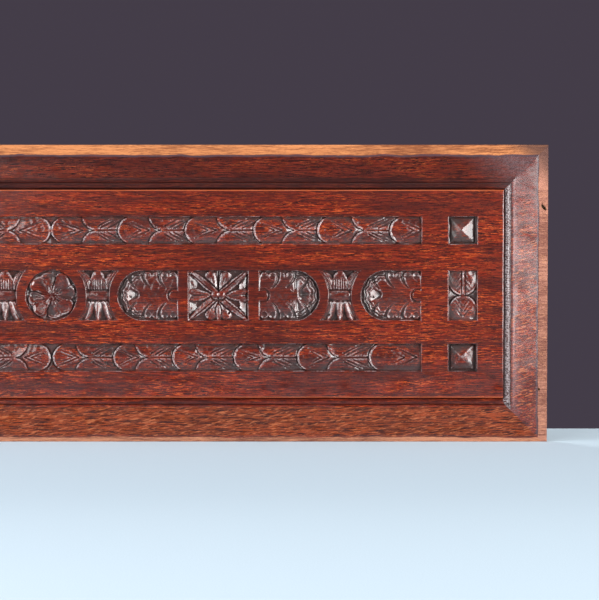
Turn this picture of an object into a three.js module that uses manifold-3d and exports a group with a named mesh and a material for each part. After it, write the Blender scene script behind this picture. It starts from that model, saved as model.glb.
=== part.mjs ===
// A carved oak wall panel, made from one board: a raised field inside a mitred moulding,
// with sunk compartments of laurel leaves, a rosette, tulips, acanthus leaves and pyramids.
//
// Everything is drawn lying on its back: x runs along the board, y across it, and z is the
// height above the back. The last lines stand it up, so that the front faces -Y.
import * as THREE from "three";
import { mergeVertices } from "three/addons/utils/BufferGeometryUtils.js";
import Module from "manifold-3d";

const wasm = await Module();
wasm.setup();

// ---- Driving dimensions, in millimetres ----
const LENGTH = 1000;
const WIDTH = 300;
const FIELD = 18; // height of the raised field, which is the thickest part
const GROUND = 13; // height of the flat ground inside the compartments
const BURIED = 12; // carved forms start below the ground, so that they join it
const ABOVE = 20; // cutters reach up past the field
const ROOM = 5; // how far a carved form may run on into the wood beside its compartment

// The thin tongue that sits in a frame's groove. It is narrower along the lower edge.
const TONGUE = { ends: 10, top: 10.5, bottom: 5, edge: 8.4, inner: 9 };
const BEVEL = { inset: 33.6, foot: 9.6, head: 13.2 };
const FILLET = { outer: 35.4, inner: 37.5, height: 14.4 };
const BEAD = { centre: 41.4, radius: 3.2, foot: 13.8, facets: 5 };
const FIELD_INSET = 45.4;

// Rows of carving: two leaf bands with a taller row between them.
const BAND = { offset: 64, height: 27.5, reach: 372 };

// Laurel leaves, marked out by eye: how far each round base is from the board's centre,
// and the share of a leaf's length at which its two side leaves meet.
const UPPER_LEAVES = { bases: [0, 67, 134, 203, 267, 340], join: 0.685 };
const LOWER_LEAVES = { bases: [1, 62, 121, 183, 247, 319], join: 0.625 };
const LAST_LEAF = 68; // the length the outermost leaf would have if the band ran on

const ROW = { y: -1.5, height: 50 };
const COLUMN = { x: 413.7, width: 28.6 };
const PYRAMID = { base: 24.5, height: 4.7 };
const HALF_ROUND = { width: 60, lug: 5.5, lugSetIn: 2.8 };
const SQUARE_WIDTH = 59.6;
const SPOOL = { ends: 40.5, waist: 22 };
const ROSETTE_RADIUS = 25.6;

// The middle row, from the rosette outwards. A half-round faces 1 when its round end is
// towards the centre of the board, and -1 when it is away from it.
const MIDDLE_ROW = [
  { form: spool, x: 46.7, facing: 1 },
  { form: halfRound, x: 96.9, facing: 1 },
  { form: saltire, x: 167.8, facing: 1 },
  { form: halfRound, x: 239.4, facing: -1 },
  { form: spool, x: 290.2, facing: 1 },
  { form: halfRound, x: 341.5, facing: 1 },
];

// ---- Outlines, as lists of THREE.Vector2 ----
const at = (x, y) => new THREE.Vector2(x, y);
const radians = THREE.MathUtils.degToRad;
const degrees = THREE.MathUtils.radToDeg;

function rectangle(width, height) {
  const x = width / 2;
  const y = height / 2;
  return [at(-x, -y), at(x, -y), at(x, y), at(-x, y)];
}

// A rectangle that holds an outline, with some wood to spare on every side.
function surround(outline) {
  const { min, max } = new THREE.Box2()
    .setFromPoints(outline)
    .expandByScalar(ROOM);
  return [min, at(max.x, min.y), max, at(min.x, max.y)];
}

// Points on an arc, from one angle to another, both ends included.
function arc(cx, cy, radius, from, to, steps) {
  return new THREE.EllipseCurve(
    cx,
    cy,
    radius,
    radius,
    radians(from),
    radians(to),
    to < from,
  ).getPoints(steps);
}

function ellipse(cx, cy, rx, ry, tilt, steps) {
  return new THREE.EllipseCurve(cx, cy, rx, ry, 0, 2 * Math.PI, false, radians(tilt))
    .getPoints(steps)
    .slice(0, -1);
}

const mirrored = (outline, x, y) => outline.map((p) => at(p.x * x, p.y * y));
const turned = (outline, angle) =>
  outline.map((p) => p.clone().rotateAround(at(0, 0), radians(angle)));

// ---- Rings and solids: a ring is an outline at a height, as a list of [x, y, z] ----
const ringAt = (outline, z) => outline.map((p) => [p.x, p.y, z]);

// A form that rises from the ground to its rim, with a smaller and higher crown inside
// the rim if it has one. A height is a number or, on a form that slopes, a function.
function mound({ outline, rim, crown, shrink = 0.5 }) {
  const height = (level, p) => (typeof level === "function" ? level(p) : level);
  const sides = [
    ringAt(outline, BURIED),
    outline.map((p) => [p.x, p.y, height(rim, p)]),
  ];
  if (crown === undefined) return sides;

  const centre = outline
    .reduce((sum, p) => sum.add(p), at(0, 0))
    .divideScalar(outline.length);
  const inner = outline.map((p) => centre.clone().lerp(p, shrink));
  return [...sides, inner.map((p) => [p.x, p.y, height(crown, p)])];
}

// Moves rings to (x, y), turned end for end along the board when facing is -1.
const placed = (rings, x, y, facing) =>
  rings.map((ring) => ring.map(([px, py, pz]) => [x + facing * px, y + py, pz]));

// A closed skin over a stack of rings, flat at both ends.
function loft(rings) {
  const outline = rings[0].map(([x, y]) => at(x, y));
  if (THREE.ShapeUtils.isClockWise(outline))
    return loft(rings.map((ring) => [...ring].reverse()));

  const count = outline.length;
  const top = (rings.length - 1) * count;
  const index = [];
  for (const [a, b, c] of THREE.ShapeUtils.triangulateShape(outline, [])) {
    index.push(c, b, a);
    index.push(top + a, top + b, top + c);
  }
  for (let start = 0; start < top; start += count) {
    for (let i = 0; i < count; i++) {
      const a = start + i;
      const b = start + ((i + 1) % count);
      index.push(a, b, b + count, a, b + count, a + count);
    }
  }
  const geometry = new THREE.BufferGeometry();
  geometry.setAttribute(
    "position",
    new THREE.Float32BufferAttribute(rings.flat(2), 3),
  );
  geometry.setIndex(index);
  return solid(geometry);
}

function solid(geometry) {
  const merged = mergeVertices(geometry);
  return new wasm.Manifold(
    new wasm.Mesh({
      numProp: 3,
      vertProperties: merged.attributes.position.array,
      triVerts: new Uint32Array(merged.index.array),
    }),
  );
}

// ---- Carved forms: each is a compartment's outline and the mounds that stand in it ----

// One laurel leaf with its round base at x = 0, and the pair of side leaves beyond it.
function laurelUnit(length, join) {
  const falling = (high, low) => (p) =>
    THREE.MathUtils.mapLinear(p.x, 0, length, high, low);
  const base = BAND.height / 2 + 0.3; // the base runs into both walls of the band
  const middle = {
    outline: [
      ...arc(base - 0.3, 0, base, 270, 90, 5),
      at(0.55 * length, 8),
      at(0.85 * length, 0),
      at(0.55 * length, -8),
    ],
    rim: falling(16, 13.6),
    crown: falling(17, 14.6),
  };
  const side = {
    outline: [
      ...arc(join * length, 16, 15.2, 187, 266, 2),
      at(length + 2, 0.8),
      at(length + base, base + 1),
    ],
    rim: falling(17.8, 13.8),
  };
  const otherSide = { ...side, outline: mirrored(side.outline, 1, -1) };
  return [middle, side, otherSide].map(mound);
}

// Half of a leaf band, from the centre of the panel to the band's outer end.
function laurelBand({ bases, join }) {
  const half = BAND.height / 2;
  const mounds = bases.flatMap((x, i) => {
    const end = bases[i + 1] ?? x + LAST_LEAF;
    return laurelUnit(end - x, join).map((rings) => placed(rings, x, 0, 1));
  });
  return {
    pocket: [at(-1, -half), at(BAND.reach, -half), at(BAND.reach, half), at(-1, half)],
    mounds,
  };
}

function rosette() {
  const petal = ellipse(13.4, 0, 10.2, 9.6, 0, 7);
  const sepal = [at(8, -5), at(19, -4.5), at(25, 0), at(19, 4.5), at(8, 5)];
  const mounds = [mound({ outline: ellipse(0, 0, 4.6, 4.6, 0, 8), rim: 15.4, crown: 17 })];
  for (let quarter = 0; quarter < 360; quarter += 90) {
    const outline = turned(petal, quarter + 45);
    mounds.push(mound({ outline, rim: 15.2, crown: 17.3, shrink: 0.6 }));
    mounds.push(mound({ outline: turned(sepal, quarter), rim: 13.8, crown: 15.6 }));
  }
  return { pocket: ellipse(0, 0, ROSETTE_RADIUS, ROSETTE_RADIUS, 0, 24), mounds };
}

// A bound tulip: three petals above a collar, three leaves below it, in a compartment
// that narrows to a waist.
function spool() {
  const half = ROW.height / 2;
  const inward = (SPOOL.ends - SPOOL.waist) / 2;
  const radius = (half * half + inward * inward) / (2 * inward);
  const sweep = degrees(Math.asin(half / radius));
  const side = arc(SPOOL.waist / 2 + radius, 0, radius, 180 + sweep, 180 - sweep, 6);

  const petal = [at(-6, 4), at(-7.5, 14), at(0, 24.6), at(7.5, 14), at(6, 4)];
  const leaf = [at(-5, -4), at(5, -4), at(4.5, -17), at(0, -24), at(-4.5, -17)];
  const flared = [at(4, 4), at(10, 4), at(12.5, 14), at(19, 24), at(13, 24), at(7, 14)];
  const mounds = [
    mound({ outline: petal, rim: 15.4, crown: 17.2 }),
    mound({ outline: leaf, rim: 15.2, crown: 17 }),
    mound({ outline: rectangle(17, 8.6), rim: 15.6, crown: 17.4, shrink: 0.6 }),
  ];
  for (const hand of [1, -1])
    for (const up of [1, -1])
      mounds.push(mound({ outline: mirrored(flared, hand, up), rim: 14.2, crown: 16 }));
  return { pocket: [...side, ...mirrored(side, -1, 1).reverse()], mounds };
}

// An acanthus leaf in a compartment with one round end. The leaf grows from a lug on the
// flat side, its lobes lean towards the lug, and its tip turns over at the round end.
function halfRound() {
  const half = ROW.height / 2;
  const flat = HALF_ROUND.width / 2;
  const roundCentre = half - flat;
  const pocket = [
    ...arc(roundCentre, 0, half, 270, 90, 8),
    at(flat, half),
    ...arc(flat - HALF_ROUND.lugSetIn, 0, HALF_ROUND.lug, 60, 300, 5),
    at(flat, -half),
  ];
  const body = { outline: ellipse(2, 0, 21, 9, 0, 8), rim: 15, crown: 16.8 };
  const mounds = [mound({ ...body, shrink: 0.7 })];

  const SIDE_LOBES = 3;
  const SIDE_STEP = 15;
  for (const up of [1, -1])
    for (let i = 0; i < SIDE_LOBES; i++) {
      const outline = ellipse(21 - SIDE_STEP * i, up * 15.5, 6.6, 10.2, up * 14, 6);
      mounds.push(mound({ outline, rim: 14.6, crown: 16.8 }));
    }

  const TIP_LOBES = 5;
  const TIP_TURN = 32;
  for (let i = 0; i < TIP_LOBES; i++) {
    const tilt = 180 + TIP_TURN * (i - (TIP_LOBES - 1) / 2);
    const lobe = turned(ellipse(20, 0, 4.4, 6, 0, 6), tilt);
    const outline = lobe.map((p) => at(p.x + roundCentre, p.y));
    mounds.push(mound({ outline, rim: 14.4, crown: 16 }));
  }
  return { pocket, mounds };
}

// Four ribbed blades to the corners, a pair of lobes between each two, and a boss.
function saltire() {
  const slope = degrees(Math.atan2(ROW.height, SQUARE_WIDTH));
  const blade = [at(2, -2), at(22, -3.6), at(37.5, 0), at(22, 3.6), at(2, 2)];
  const boss = { outline: ellipse(0, 0, 4.8, 4.4, 0, 8), rim: 16.2, crown: 17.4 };
  const mounds = [mound(boss)];
  for (const tilt of [slope, 180 - slope, 180 + slope, -slope])
    mounds.push(mound({ outline: turned(blade, tilt), rim: 14.6, crown: 16.8 }));

  const pairs = [
    { heading: 0, spread: 12, reach: 18 },
    { heading: 90, spread: 22, reach: 14.5 },
  ];
  for (const { heading, spread, reach } of pairs)
    for (const way of [heading, heading + 180])
      for (const hand of [1, -1]) {
        const outline = turned(ellipse(reach, 0, 8.4, 4, 0, 6), way + hand * spread);
        mounds.push(mound({ outline, rim: 14.4, crown: 16.4 }));
      }
  return { pocket: rectangle(SQUARE_WIDTH, ROW.height), mounds };
}

// Two laurel leaves, round base to round base, up and down the end column.
function leafPair() {
  const radius = COLUMN.width / 2 + 0.3;
  const leaf = [...arc(radius - 0.3, 0, radius, 270, 90, 5), at(27, 10), at(27, -10)];
  const mounds = [90, 270].map((way) =>
    mound({ outline: turned(leaf, way), rim: 14.8, crown: 17.2, shrink: 0.3 }),
  );
  return { pocket: rectangle(COLUMN.width, ROW.height), mounds };
}

function pyramid() {
  const foot = rectangle(PYRAMID.base, PYRAMID.base);
  const point = mirrored(foot, 0.02, 0.02);
  return {
    pocket: rectangle(COLUMN.width, BAND.height),
    mounds: [
      [
        ringAt(foot, BURIED),
        ringAt(foot, GROUND + 0.1),
        ringAt(point, GROUND + PYRAMID.height),
      ],
    ],
  };
}

// ---- The board ----
// One ring of the board's skin: insets from the ends, the top and the bottom.
function boardRing(ends, top, bottom, z) {
  const x = LENGTH / 2 - ends;
  const high = WIDTH / 2 - top;
  const low = bottom - WIDTH / 2;
  return ringAt([at(-x, low), at(x, low), at(x, high), at(-x, high)], z);
}

// A half-round bead, from its outer foot over its crest to its inner foot.
function beadRings(evenly) {
  const rings = [];
  for (let i = 0; i <= BEAD.facets; i++) {
    const turn = (i / BEAD.facets) * Math.PI;
    const inset = BEAD.centre - BEAD.radius * Math.cos(turn);
    rings.push(evenly(inset, BEAD.foot + BEAD.radius * Math.sin(turn)));
  }
  return rings;
}

function board() {
  const evenly = (inset, z) => boardRing(inset, inset, inset, z);
  const { ends, top, bottom, edge, inner } = TONGUE;
  const step = BEVEL.foot - inner; // the bevel stands proud of the tongue
  return loft([
    evenly(0, 0),
    evenly(0, edge),
    boardRing(ends, top, bottom, inner),
    boardRing(ends + step, top + step, bottom + step, BEVEL.foot),
    evenly(BEVEL.inset, BEVEL.head),
    evenly(FILLET.outer, FILLET.height),
    evenly(FILLET.inner, FILLET.height),
    ...beadRings(evenly),
    evenly(FIELD_INSET, FIELD),
  ]);
}

// ---- Carving the board ----
// Sinks one compartment at (x, y), then stands its mounds in it. Where a mound runs on
// into the wall it is lost in the board, short of the next compartment.
function carve(panel, { pocket, mounds }, x, y, facing) {
  const cutter = (outline, from) =>
    loft(placed([ringAt(outline, from), ringAt(outline, ABOVE)], x, y, facing));
  const forms = mounds
    .map((rings) => loft(placed(rings, x, y, facing)))
    .reduce((joined, next) => joined.add(next));
  return panel
    .subtract(cutter(pocket, GROUND))
    .add(forms.intersect(cutter(surround(pocket), BURIED - 1)));
}

function carvedPanel() {
  let panel = board();
  for (const side of [1, -1]) {
    panel = carve(panel, laurelBand(UPPER_LEAVES), 0, BAND.offset, side);
    panel = carve(panel, laurelBand(LOWER_LEAVES), 0, -BAND.offset, side);
    for (const y of [BAND.offset, -BAND.offset])
      panel = carve(panel, pyramid(), side * COLUMN.x, y, side);
    panel = carve(panel, leafPair(), side * COLUMN.x, ROW.y, side);
    for (const { form, x, facing } of MIDDLE_ROW)
      panel = carve(panel, form(), side * x, ROW.y, side * facing);
  }
  return carve(panel, rosette(), 0, ROW.y, 1);
}

function geometryOf(made) {
  const { vertProperties, triVerts } = made.getMesh();
  const geometry = new THREE.BufferGeometry();
  geometry.setAttribute("position", new THREE.BufferAttribute(vertProperties, 3));
  geometry.setIndex(new THREE.BufferAttribute(triVerts, 1));
  return geometry;
}

const stainedOak = new THREE.MeshStandardMaterial({
  color: new THREE.Color(0.3, 0.1, 0.06),
  roughness: 0.35,
  metalness: 0,
  flatShading: true,
});

const panel = new THREE.Mesh(geometryOf(carvedPanel()), stainedOak);
panel.name = "carved_panel";
panel.rotation.x = Math.PI / 2; // stands the board up, front towards -Y

const group = new THREE.Group();
group.add(panel);

export default group;
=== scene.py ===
# %% [markdown]
# # A carved oak panel
# This is one board of oak. Its border is planed down to a thin tongue that sits in the
# groove of a frame, a moulding is worked round a raised field, and the field is carved
# with sunk compartments. The carving is low relief: nothing is undercut, so every point
# of the front has one height. That makes a height map the natural way to model it.
# The map is a set of small functions, one for each carved form, and each cut in them is
# a cut that a carver makes with a V-tool or a gouge.

import math

import bpy
import bmesh
import numpy as np
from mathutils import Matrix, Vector


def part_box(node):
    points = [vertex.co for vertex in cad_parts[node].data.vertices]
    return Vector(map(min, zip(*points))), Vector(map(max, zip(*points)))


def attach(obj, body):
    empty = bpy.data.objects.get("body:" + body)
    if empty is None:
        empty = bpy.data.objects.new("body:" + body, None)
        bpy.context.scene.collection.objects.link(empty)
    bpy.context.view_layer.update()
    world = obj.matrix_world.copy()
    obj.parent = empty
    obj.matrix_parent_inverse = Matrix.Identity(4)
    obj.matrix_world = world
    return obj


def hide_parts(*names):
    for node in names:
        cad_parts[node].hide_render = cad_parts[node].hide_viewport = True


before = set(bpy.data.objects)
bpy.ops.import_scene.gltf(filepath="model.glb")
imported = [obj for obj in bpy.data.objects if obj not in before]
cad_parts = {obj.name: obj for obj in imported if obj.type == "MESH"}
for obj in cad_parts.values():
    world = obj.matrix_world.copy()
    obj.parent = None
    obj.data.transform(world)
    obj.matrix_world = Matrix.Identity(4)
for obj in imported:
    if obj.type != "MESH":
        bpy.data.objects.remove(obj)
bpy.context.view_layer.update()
NODE = "carved_panel"
low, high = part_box(NODE)
print("board in metres:", [round(b - a, 4) for a, b in zip(low, high)])

# %% [markdown]
# ## Sizes
# A carver thinks in millimetres, so the relief is worked out in millimetres, with x
# along the board, z up it, and heights measured from the raised field: 0 is the field
# and -5 the ground of a compartment. The board's outside sizes come from the frame.

# %% The board's sizes in millimetres
MM = 0.001
LENGTH = (high[0] - low[0]) / MM
WIDTH = (high[2] - low[2]) / MM
THICKNESS = (high[1] - low[1]) / MM
GROUND = -5.0

BAND_HEIGHT = 27.5
BAND_OFFSET = 64.0
BAND_REACH = 372.0
ROW_HEIGHT = 50.0
ROW_Z = -1.5
COLUMN_X = 413.7
COLUMN_WIDTH = 28.6
HALF_ROUND_WIDTH = 60.0
SQUARE_WIDTH = 59.6
SQUARE_X = 167.8
ROSETTE_RADIUS = 25.6
SPOOL_ENDS = 40.5
SPOOL_WAIST = 22.0

# The places of the leaves' round bases, stepped off from the middle of the board,
# and the share of a leaf's length at which its two side leaves meet.
UPPER_LEAVES = (0, 67, 134, 203, 267, 340)
LOWER_LEAVES = (1, 62, 121, 183, 247, 319)
UPPER_JOIN = 0.685
LOWER_JOIN = 0.625

# How long the last leaves would be if the end wall of the band did not cut them off.
UPPER_LAST = 68
LOWER_LAST = 112
print(f"board {LENGTH:.0f} x {WIDTH:.0f} x {THICKNESS:.0f} mm")

# %% [markdown]
# ## The carver's tools
# Each helper takes arrays of places and gives arrays of numbers. `vee` is the cut of a
# V-tool, `scoop` the cut of a gouge, `blade` and `dome` are forms left standing.
# `wobble` is a sum of a few slow sine waves, seeded, and it moves every outline a
# fraction of a millimetre, because nothing on the board was cut by machine. `measure`
# prints how low and how high each form comes out.

# %% Ramps and turns
def ramp(x, start, end):
    return np.clip((x - start) / (end - start), 0.0, 1.0)


def ease(x, start, end):
    t = ramp(x, start, end)
    return t * t * (3.0 - 2.0 * t)


def turned(x, z, degrees):
    angle = math.radians(degrees)
    along = x * math.cos(angle) + z * math.sin(angle)
    return along, z * math.cos(angle) - x * math.sin(angle)


def wobble(x, z, size, seed):
    """Slow unevenness between about -1 and 1, with waves of about the given size."""
    rng = np.random.default_rng(seed)
    total = 0.0
    for _ in range(6):
        heading, phase = rng.uniform(0, 2 * math.pi, 2)
        wave = 2 * math.pi / (size * rng.uniform(0.7, 1.6))
        total = total + np.sin(wave * (x * math.cos(heading) + z * math.sin(heading)) + phase)
    return total / 3.6  # six waves seldom add up to more than this


print("an eased ramp a quarter of the way up stands at", ease(0.25, 0, 1))


# %% Cuts and standing forms
def vee(distance, width):
    return np.clip(1.0 - np.abs(distance) / (0.5 * width), 0.0, 1.0)


def scoop(distance, width):
    return np.sqrt(np.clip(1.0 - (2.0 * distance / width) ** 2, 0.0, 1.0))


def stroke(x, z, points):
    """The distance to a stroke through some points, and the share of it passed there."""
    nearest = np.full(np.shape(x), 1e9)
    share = np.zeros(np.shape(x))
    total = sum(math.dist(a, b) for a, b in zip(points, points[1:]))
    gone = 0.0
    for (ax, az), (bx, bz) in zip(points, points[1:]):
        length = math.dist((ax, az), (bx, bz))
        t = ((x - ax) * (bx - ax) + (z - az) * (bz - az)) / length**2
        t = np.clip(t, 0.0, 1.0)
        distance = np.hypot(x - ax - t * (bx - ax), z - az - t * (bz - az))
        nearer = distance < nearest
        nearest = np.where(nearer, distance, nearest)
        share = np.where(nearer, (gone + t * length) / total, share)
        gone += length
    return nearest, share


def curve(start, middle, end):
    """Points along a bend from start to end, pulled towards middle."""
    steps = 8
    points = []
    for i in range(steps + 1):
        t = i / steps
        weights = ((1 - t) ** 2, 2 * t * (1 - t), t * t)
        points.append(tuple(np.dot(weights, (start, middle, end))))
    return points


def blade(x, z, points, half_width, top, foot, blunt=0.0):
    """A ridged, pointed leaf along a stroke. Beside it the height is minus infinity."""
    distance, share = stroke(x, z, points)
    taper = np.minimum(1.0, (1.0 - share) / 0.5) ** 0.8
    width = half_width * (blunt + (1.0 - blunt) * taper) * np.minimum(1.0, 0.6 + 2.0 * share)
    across = distance / np.maximum(width, 0.05)
    return np.where(across < 1.0, top + (foot - top) * across**1.4, -np.inf)


def dome(x, z, radius_x, radius_z, top, foot):
    r = (x / radius_x) ** 2 + (z / radius_z) ** 2
    rise = np.sqrt(np.clip(1.0 - r, 0.0, 1.0))
    return np.where(r < 1.0, foot + (top - foot) * rise, -np.inf)


print("depth of a V-cut from its middle to its edge:", vee(np.linspace(0, 1, 5), 2.0))

# %% Measuring a form
def measure(form, half_x, half_z, name):
    """Prints the lowest and the highest place of a carved form."""
    x, z = np.meshgrid(np.linspace(-half_x, half_x, 80), np.linspace(-half_z, half_z, 80))
    height = form(x, z)
    print(f"{name}: from {height.min():.1f} to {height.max():.1f} mm")


# %% [markdown]
# ## Laurel bands
# A band is a row of leaves that flows outwards from the middle of the board. Each leaf
# has a round base that laps over the two side leaves before it, two arrow-shaped cuts
# for its veins, and a hollow where the next side leaves spring. `u` runs outwards along
# the band and `v` across it, so one function serves both halves and both bands.

# %% Laurel leaves
LAUREL_BASE = 16.0  # how far along the leaf its round base reaches


def laurel_base(u, v, half):
    """How far inside a leaf's round base a place is. It is negative outside."""
    back = np.minimum(u - LAUREL_BASE, 0.0) / LAUREL_BASE
    return (1.0 - np.hypot(back, v / (half + 0.9))) * half


def cut_veins(height, u, v, starts, reach, rise, depth):
    """Pairs of V-cuts that run from the starts (u, v) by reach along and rise across."""
    for start_u, start_v in starts:
        for hand in (1, -1):
            line = [(start_u, hand * start_v), (start_u + reach, hand * (start_v + rise))]
            distance, share = stroke(u, v, line)
            height = height - depth * vee(distance, 1.9) * (1.0 - 0.6 * share)
    return height


def laurel_leaf(u, v, length, join, half, seed):
    """A leaf with its base at u = 0, and the two side leaves that meet at join."""
    rng = np.random.default_rng(seed)  # so that each leaf's veins differ a little
    slip, lean, more = rng.uniform(-1.2, 1.2, 3)
    corner = half + 1.3
    side_edge = corner - np.hypot(u - join, np.abs(v) - corner)
    side_edge = np.where(u < join, side_edge, np.abs(v))

    middle = -1.2 - 2.0 * (v / half) ** 2 - 1.0 * ease(u, 12, join)
    beside = np.exp(-np.maximum(-side_edge, 0) / 2.4)
    middle = middle - 1.9 * beside * ease(u, join - 18, join - 5)
    middle = cut_veins(middle, u, v, [(join * 0.5 + slip, 0.0)], -12.0 + 2 * more, 6.0 + lean, 1.3)
    middle = cut_veins(middle, u, v, [(join * 0.68 + slip, 0.0)], -20.0 + 2 * lean, 8.2 + slip, 1.5)
    middle = middle - 0.5 * vee(v, 1.6) * ease(u, join * 0.7, join * 0.9)

    side = -1.0 - 1.2 * ease(side_edge, 0.4, 7.0) - 1.3 * ease(u, join + 6, length + 4)
    side = side - 0.9 * ease(np.abs(v), half - 5, half)
    side = side - 1.5 * vee(v, 2.0) * ease(u, join - 3, join + 2)
    step = 8.0 * length / 67.0  # 8 mm in a leaf of 67 mm
    starts = [(join + 1 + slip, 4.2), (join + 0.6 * step + lean, 2.8), (join + 1.3 * step, 2.0)]
    side = cut_veins(side, u, v, starts, 1.8 * step + more, 7.4 + 0.5 * slip, 1.4)
    return np.where(side_edge > 0, side, middle)


def laurel_band(u, v, bases, join_share, last_length):
    """Leaves from the middle of the board to both ends. The wall cuts off the last."""
    half = BAND_HEIGHT / 2
    u = np.abs(u)
    height = GROUND + 0.9 + 1.3 * np.abs(v) / half
    ends = (*bases[1:], bases[-1] + last_length)
    for seed, (base, end) in enumerate(zip(bases, ends)):
        length = end - base
        inside = laurel_base(u - base, v, half)
        leaf = laurel_leaf(u - base, v, length, join_share * length, half, seed)
        rim = 0.5 * vee(inside - 1.0, 2.0) * ease(u - base, 16, 9)
        height = height - 1.2 * np.exp(-np.abs(inside) / 0.7) * ease(u - base, 18, 12)
        height = np.where(inside > 0, leaf + rim, height)
    return height


def upright_laurel(x, z):
    """Two leaves for the end columns, one up and one down from their round bases."""
    half = COLUMN_WIDTH / 2
    u, v = np.abs(z), x
    inside = laurel_base(u, v, half)
    leaf = -1.0 - 2.0 * (v / half) ** 2 - 0.8 * ease(u, 12, 25)
    midrib = (1.1 * vee(v - 0.6, 2.8) - 1.1 * vee(np.abs(v - 0.6) - 2.0, 1.4)) * (z > 0)
    leaf = cut_veins(leaf + midrib, u, v, [(10, 1.2), (15.5, 1.2), (21, 1.2)], -8.5, 6.4, 1.2)
    height = GROUND + 0.4 + 1.8 * np.abs(v) / half
    height = height - 1.3 * np.exp(-np.abs(inside) / 0.9)
    return np.where(inside > 0, leaf + 0.6 * vee(inside - 1.0, 2.2), height)


measure(upright_laurel, COLUMN_WIDTH / 2, ROW_HEIGHT / 2, "two leaves of an end column")


# %% [markdown]
# ## Rosette
# Four cupped petals stand on the diagonals and lap over each other like the vanes of a
# pinwheel, with turned edges. The tips of four sepals show between them, and a small
# boss with cut stamens fills the middle. Polar coordinates make this one easy: a petal
# is a range of angles, and its edge is a radius that depends on the angle.

# %% The rosette
def around(angle, heading):
    """The angle from a heading, from -180 to 180 degrees."""
    return (angle - heading + 180) % 360 - 180


def with_sepals(height, r, angle):
    """Sepals whose tips show between the petals."""
    for heading in range(0, 360, 90):
        width = 24.0 * np.clip((26.5 - r) / 8.0, 0.02, 1.0)
        across = np.abs(around(angle, heading)) / width
        sepal = np.where((across < 1) & (r > 14), -3.3 - 1.4 * across, GROUND)
        height = np.maximum(height, sepal)
    return height


def with_petal(height, r, angle, heading):
    """One cupped petal, which swirls, curls up on one side and dips on the other."""
    swirl = 15.0 * np.sin(np.clip(r - 3, 0, 24) / 24.0 * math.pi)
    a = around(angle + swirl, heading)
    lap = a / 45.0
    edge = 24.5 - 1.4 * np.exp(-(((a + 6) / 10.0) ** 2)) - 4.2 * np.abs(lap) ** 5
    edge = edge + 0.8 * np.sin(np.radians(angle) * 7 + heading)
    inside = np.minimum(edge - r, np.radians(46.5 - np.abs(a)) * np.maximum(r, 4))
    cup = -0.7 - 1.5 * ease(inside, 0.6, 5.0) + 0.8 * ease(r, 16.0, 6.0)
    curl = 2.0 * ease(lap, 0.1, 0.95) - 1.8 * ease(lap, -0.3, -0.95)
    crease = 0.7 * vee(np.radians(a + 6) * r, 2.0) * ease(r, 12, 20)
    crease = crease + 1.6 * np.exp(-np.maximum(inside, 0) / 0.7)
    petal = np.maximum(cup + curl * ease(r, 5, 12) - crease, GROUND + 0.3)
    return np.where(inside > 0, np.minimum(petal, -0.15), height)


def rosette(x, z):
    r = np.hypot(x, z)
    angle = np.degrees(np.arctan2(z, x))
    height = GROUND + 1.6 * ease(r, 20, 25) + 0.5 * np.cos(np.radians(angle) * 16)
    height = with_sepals(height, r, angle)
    for heading in range(45, 360, 90):
        height = with_petal(height, r, angle, heading)

    stamens = 0.5 + 0.5 * np.cos(np.radians(angle) * 19)
    ring = ease(r, 3.5, 5.0) * (1 - ease(r, 8.5, 13.0))
    height = height - 1.3 * ring * stamens * (0.6 + 0.4 * np.cos(np.radians(angle)))
    return np.maximum(height, dome(x, z, 4.2, 3.8, -0.7, -2.8))


measure(rosette, 18, 18, "rosette")

# %% [markdown]
# ## Tulips
# A tulip is bound at its waist. Its middle petal is fluted, its side petals flare to the
# corners, and the leaves under the collar flare to the corners below. The compartment
# narrows in two arcs, so its half width is a radius less a square root.

# %% The tulip and its compartment
def spool_half_width(z):
    half = ROW_HEIGHT / 2
    inward = (SPOOL_ENDS - SPOOL_WAIST) / 2
    radius = (half * half + inward * inward) / (2 * inward)
    return SPOOL_WAIST / 2 + radius - np.sqrt(np.maximum(radius**2 - z**2, 0.0))


def tulip(x, z):
    height = np.full(np.shape(x), GROUND)
    side = np.abs(x)
    flare = curve((7.5, 3.0), (8.5, 15.0), (18.6, 24.6))
    height = np.maximum(height, blade(side, z, flare, 5.2, -1.0, -3.4, blunt=0.35))
    height = height - 0.8 * vee(side - spool_half_width(z) + 3.2, 1.3) * (z > 6)

    petal = -0.8 - 1.5 * (side / 8.3) ** 2 - 0.5 * ease(z, 12, 4)
    flutes = vee((x + 1.2) % 2.4 - 1.2, 1.6) * ease(z, 17.5, 15.0) * (side < 5.6)
    petal = petal - 1.1 * flutes
    arch = np.sqrt(np.clip(1.0 - (np.maximum(z - 9.0, 0.0) / 16.5) ** 2, 0.0, 1.0))
    height = np.where((side < 8.3 * arch) & (z > 2), petal, height)

    outer = curve((9.0, -3.0), (10.0, -14.0), (19.2, -24.8))
    inner = curve((5.0, -3.0), (6.5, -14.0), (12.0, -24.4))
    middle = [(0.0, -3.0), (0.0, -25.0)]
    height = np.maximum(height, blade(side, z, outer, 3.8, -1.7, -4.0, blunt=0.6))
    height = np.maximum(height, blade(side, z, inner, 3.9, -1.1, -3.8, blunt=0.75))
    height = np.maximum(height, blade(x, z, middle, 4.4, -0.7, -3.6, blunt=0.5))

    bulge = np.sqrt(np.clip(1.0 - (z / 5.1) ** 2, 0.0, 1.0))
    collar = -2.6 + 2.1 * bulge - 1.5 * (side / 11.0) ** 2
    height = np.where(np.abs(z) < 5.1, np.maximum(collar, -4.0), height)
    return height - 1.3 * vee(np.abs(z) - 5.6, 1.6)


measure(tulip, SPOOL_WAIST / 2, ROW_HEIGHT / 2, "tulip")


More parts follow.
